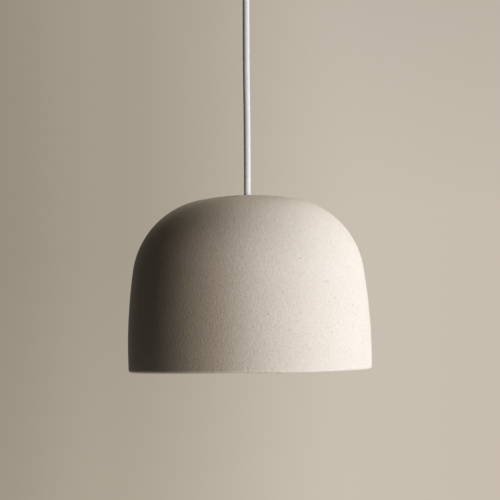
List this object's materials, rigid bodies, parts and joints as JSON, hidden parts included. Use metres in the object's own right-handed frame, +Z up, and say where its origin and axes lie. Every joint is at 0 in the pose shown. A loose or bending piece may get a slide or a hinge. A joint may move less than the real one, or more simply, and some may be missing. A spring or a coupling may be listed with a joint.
{
  "type": "pendant ceiling light",
  "caption": "Pendant ceiling light: a speckled stoneware dome shade hung on a white textile cable from a round ceiling canopy, with a screw lampholder and an opal bulb inside.",
  "frame": {"origin": "centre of the canopy in the ceiling plane, where the mounting plate meets the ceiling", "axes": "+Z up into the ceiling, so the lamp hangs towards -Z; +X along the line of the two fixing slots and the canopy's side screws; +Y towards the supply terminals"},
  "size_m": [0.24, 0.24, 0.4275],
  "materials": {
    "stoneware": "unglazed speckled stoneware, fine grain",
    "textile_cable": "white fine braided textile sheath",
    "cable_core": "black rubber",
    "canopy_paint": "matte powder coat in the shade's colour",
    "zinc_steel": "zinc plated",
    "terminal_plastic": "moulded nylon",
    "brass": "plain",
    "copper": "bare copper strands",
    "brown_insulation": "brown core insulation",
    "blue_insulation": "blue core insulation",
    "earth_insulation": "green core insulation with yellow",
    "silicone": "translucent white silicone",
    "holder_paint": "white powder coat",
    "porcelain": "glazed white",
    "nickel": "nickel plated",
    "black_glass": "black insulator",
    "bulb_plastic": "white moulded",
    "opal_plastic": "opal diffuser",
    "aluminium_board": "white coated",
    "led_package": "yellow phosphor",
    "circuit_board": "green",
    "component_black": "moulded black"
  },
  "bodies": {
    "canopy": {"mounting_plate": "zinc_steel", "canopy_cup": "canopy_paint", "canopy_screws": "canopy_paint", "cord_grip_body": "canopy_paint", "cord_grip_washer": "zinc_steel", "cord_grip_locknut": "zinc_steel", "cord_grip_screw": "zinc_steel", "cable_tail_canopy": "textile_cable", "terminal_block": "terminal_plastic", "terminal_clamps": "brass", "terminal_screws": "zinc_steel", "terminal_fixing_screw": "zinc_steel", "earth_terminal": "brass", "earth_screw": "zinc_steel", "canopy_conductors": "copper", "lead_live_canopy": "brown_insulation", "lead_neutral_canopy": "blue_insulation", "lead_earth_canopy": "earth_insulation"},
    "cable_flex": {"cable_flex_core": "cable_core"},
    "pendant": {"cable": "textile_cable", "cable_tail_shade": "textile_cable", "shade": "stoneware", "shade_gasket": "silicone", "support_disc": "zinc_steel", "nipple": "zinc_steel", "nipple_locknut": "zinc_steel", "holder_cap": "holder_paint", "holder_cap_screw": "zinc_steel", "cable_clamp_front": "terminal_plastic", "cable_clamp_back": "terminal_plastic", "cable_clamp_screws": "zinc_steel", "holder_core": "porcelain", "holder_skirt": "holder_paint", "thread_shell": "nickel", "centre_contact": "brass", "holder_terminals": "brass", "holder_terminal_screws": "zinc_steel", "cap_earth_terminal": "brass", "shade_conductors": "copper", "lead_live_shade": "brown_insulation", "lead_neutral_shade": "blue_insulation", "lead_earth_shade": "earth_insulation"},
    "bulb_tip": {"bulb_contact": "brass", "bulb_insulator": "black_glass"},
    "bulb": {"bulb_cap_shell": "nickel", "bulb_body": "bulb_plastic", "bulb_diffuser": "opal_plastic", "bulb_led_board": "aluminium_board", "bulb_leds": "led_package", "bulb_driver_board": "circuit_board", "bulb_driver_parts": "component_black"}
  },
  "joints": [
    {"name": "swing_x", "type": "hinge", "parent": "canopy", "child": "cable_flex", "pos_m": [0, 0, -0.037], "axis": [1, 0, 0], "range_deg": [-20, 20]},
    {"name": "swing_y", "type": "hinge", "parent": "cable_flex", "child": "pendant", "pos_m": [0, 0, -0.037], "axis": [0, 1, 0], "range_deg": [-20, 20]},
    {"name": "bulb_travel", "type": "slide", "parent": "pendant", "child": "bulb_tip", "axis": [0, 0, -1], "range_m": [0, 0.0182]},
    {"name": "bulb_turn", "type": "hinge", "parent": "bulb_tip", "child": "bulb", "pos_m": [0, 0, -0.33], "axis": [0, 0, -1], "range_deg": [0, 1800]}
  ],
  "couplings": [
    {"joint": "bulb_travel", "follows": "bulb_turn", "m_per_rad": 0.00057757}
  ]
}
